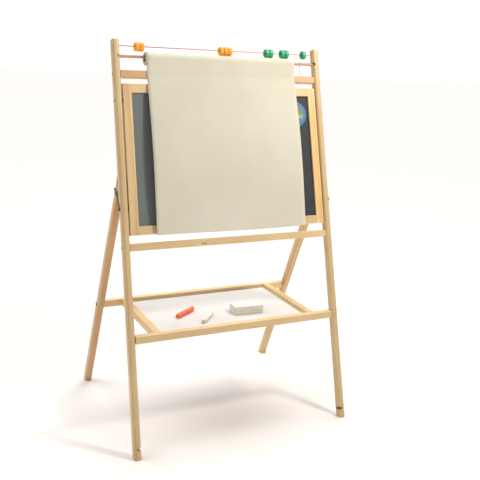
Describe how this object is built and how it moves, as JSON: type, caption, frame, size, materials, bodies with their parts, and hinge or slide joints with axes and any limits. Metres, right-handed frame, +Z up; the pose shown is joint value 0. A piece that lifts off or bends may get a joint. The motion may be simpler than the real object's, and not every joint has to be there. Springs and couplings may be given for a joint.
{
  "type": "wooden artist easel",
  "caption": "Folding wooden easel with a framed board between two leaning posts, sliding beads and a paper roll above, hinged rear legs and a swing-up tray.",
  "frame": {"origin": "on the floor, under the middle of the easel's box, in the open pose", "axes": "+Z up, +X to the right seen from the front, the board's front faces -Y"},
  "size_m": [0.6512, 0.5454, 1.0673],
  "materials": {
    "pine": "smooth sanded, clear satin lacquer",
    "beech_dowel": "smooth sanded dowel",
    "screw_steel": "blackened",
    "dark_strap": "dark bronzed",
    "copper_wire": "copper-coloured coating",
    "spacer_rubber": "matte",
    "chalkboard_paint": "matte slate paint on hardboard",
    "whiteboard_enamel": "gloss white coating on hardboard",
    "sticker_paper": "glossy printed paper",
    "white_hardboard": "satin white coating on hardboard",
    "drawing_paper": "uncoated drawing paper",
    "core_board": "spiral-wound board",
    "white_wire": "white coating",
    "orange_bead": "gloss paint on turned wood",
    "green_bead": "gloss paint on turned wood",
    "red_chalk": "dusty matte",
    "white_chalk": "dusty matte",
    "eraser_foam": "matte foam",
    "eraser_felt": "wool felt"
  },
  "bodies": {
    "front_frame": {"post_left": "pine", "post_right": "pine", "upper_rail": "pine", "lower_rail": "pine", "rail_screws": "screw_steel", "abacus_wire": "copper_wire", "board_stile_left": "pine", "board_stile_right": "pine", "board_top_bar": "pine", "board_bottom_bar": "pine", "board_dowels": "beech_dowel", "chalkboard_panel": "chalkboard_paint", "whiteboard_panel": "whiteboard_enamel", "round_sticker": "sticker_paper", "board_screws": "screw_steel", "board_spacers": "spacer_rubber", "hinge_bolts": "screw_steel", "tray_pegs": "pine", "lock_brads": "screw_steel"},
    "rear_legs": {"rear_leg_left": "pine", "rear_leg_right": "pine", "hinge_strap_left": "dark_strap", "hinge_strap_right": "dark_strap", "strap_screws": "screw_steel"},
    "tray": {"tray_front_bar": "pine", "tray_rear_bar": "pine", "tray_side_left": "pine", "tray_side_right": "pine", "tray_panel": "white_hardboard", "tray_dowels": "beech_dowel", "tray_pivot_screws": "screw_steel"},
    "rod": {"roll_rod": "beech_dowel", "paper_sheet": "drawing_paper"},
    "paper": {"paper_core": "core_board", "paper_roll": "drawing_paper"},
    "hook": {"wire_hook": "white_wire"},
    "bead_orange_1": {"bead_orange_1": "orange_bead"},
    "bead_orange_2": {"bead_orange_2": "orange_bead"},
    "bead_orange_3": {"bead_orange_3": "orange_bead"},
    "bead_orange_4": {"bead_orange_4": "orange_bead"},
    "bead_orange_5": {"bead_orange_5": "orange_bead"},
    "bead_green_1": {"bead_green_1": "green_bead"},
    "bead_green_2": {"bead_green_2": "green_bead"},
    "bead_green_3": {"bead_green_3": "green_bead"},
    "bead_green_4": {"bead_green_4": "green_bead"},
    "bead_green_5": {"bead_green_5": "green_bead"},
    "chalk_red": {"chalk_red": "red_chalk"},
    "chalk_white": {"chalk_white": "white_chalk"},
    "eraser": {"eraser_block": "eraser_foam", "eraser_felt": "eraser_felt"}
  },
  "joints": [
    {"name": "legs_fold", "type": "hinge", "parent": "front_frame", "child": "rear_legs", "pos_m": [0, -0.09937, 0.62242], "axis": [-1, 0, 0], "range_deg": [0, 39.5]},
    {"name": "tray_tilt", "type": "hinge", "parent": "rear_legs", "child": "tray", "pos_m": [0, 0.12316, 0.292], "axis": [-1, 0, 0], "range_deg": [0, 64]},
    {"name": "rod_lift", "type": "slide", "parent": "front_frame", "child": "rod", "axis": [0, -0.9681, 0.2504], "range_m": [0, 0.05]},
    {"name": "roll_spin", "type": "hinge", "parent": "rod", "child": "paper", "pos_m": [0, 0.00324, 1.016], "axis": [1, 0, 0], "continuous": true},
    {"name": "hook_swing", "type": "hinge", "parent": "rod", "child": "hook", "pos_m": [0.257, 0.00324, 1.0204], "axis": [1, 0, 0], "range_deg": [-70, 70]},
    {"name": "bead_orange_1_slide", "type": "slide", "parent": "front_frame", "child": "bead_orange_1", "axis": [1, 0, 0], "range_m": [-0.0443, 0.0001]},
    {"name": "bead_orange_2_slide", "type": "slide", "parent": "front_frame", "child": "bead_orange_2", "axis": [1, 0, 0], "range_m": [-0.0001, 0.11215]},
    {"name": "bead_orange_3_slide", "type": "slide", "parent": "front_frame", "child": "bead_orange_3", "axis": [1, 0, 0], "range_m": [-0.11215, 0.00025]},
    {"name": "bead_orange_4_slide", "type": "slide", "parent": "front_frame", "child": "bead_orange_4", "axis": [1, 0, 0], "range_m": [-0.00025, 0.00025]},
    {"name": "bead_orange_5_slide", "type": "slide", "parent": "front_frame", "child": "bead_orange_5", "axis": [1, 0, 0], "range_m": [-0.00025, 0.05425]},
    {"name": "bead_green_1_slide", "type": "slide", "parent": "front_frame", "child": "bead_green_1", "axis": [1, 0, 0], "range_m": [-0.05425, 0.0001]},
    {"name": "bead_green_2_slide", "type": "slide", "parent": "front_frame", "child": "bead_green_2", "axis": [1, 0, 0], "range_m": [-0.0001, 0.0135]},
    {"name": "bead_green_3_slide", "type": "slide", "parent": "front_frame", "child": "bead_green_3", "axis": [1, 0, 0], "range_m": [-0.0135, 0.0001]},
    {"name": "bead_green_4_slide", "type": "slide", "parent": "front_frame", "child": "bead_green_4", "axis": [1, 0, 0], "range_m": [-0.0001, 0.02345]},
    {"name": "bead_green_5_slide", "type": "slide", "parent": "front_frame", "child": "bead_green_5", "axis": [1, 0, 0], "range_m": [-0.02345, 0.023]},
    {"name": "chalk_red_lift", "type": "slide", "parent": "tray", "child": "chalk_red", "axis": [0, 0, 1], "range_m": [0, 0.06]},
    {"name": "chalk_white_lift", "type": "slide", "parent": "tray", "child": "chalk_white", "axis": [0, 0, 1], "range_m": [0, 0.06]},
    {"name": "eraser_lift", "type": "slide", "parent": "tray", "child": "eraser", "axis": [0, 0, 1], "range_m": [0, 0.06]}
  ]
}
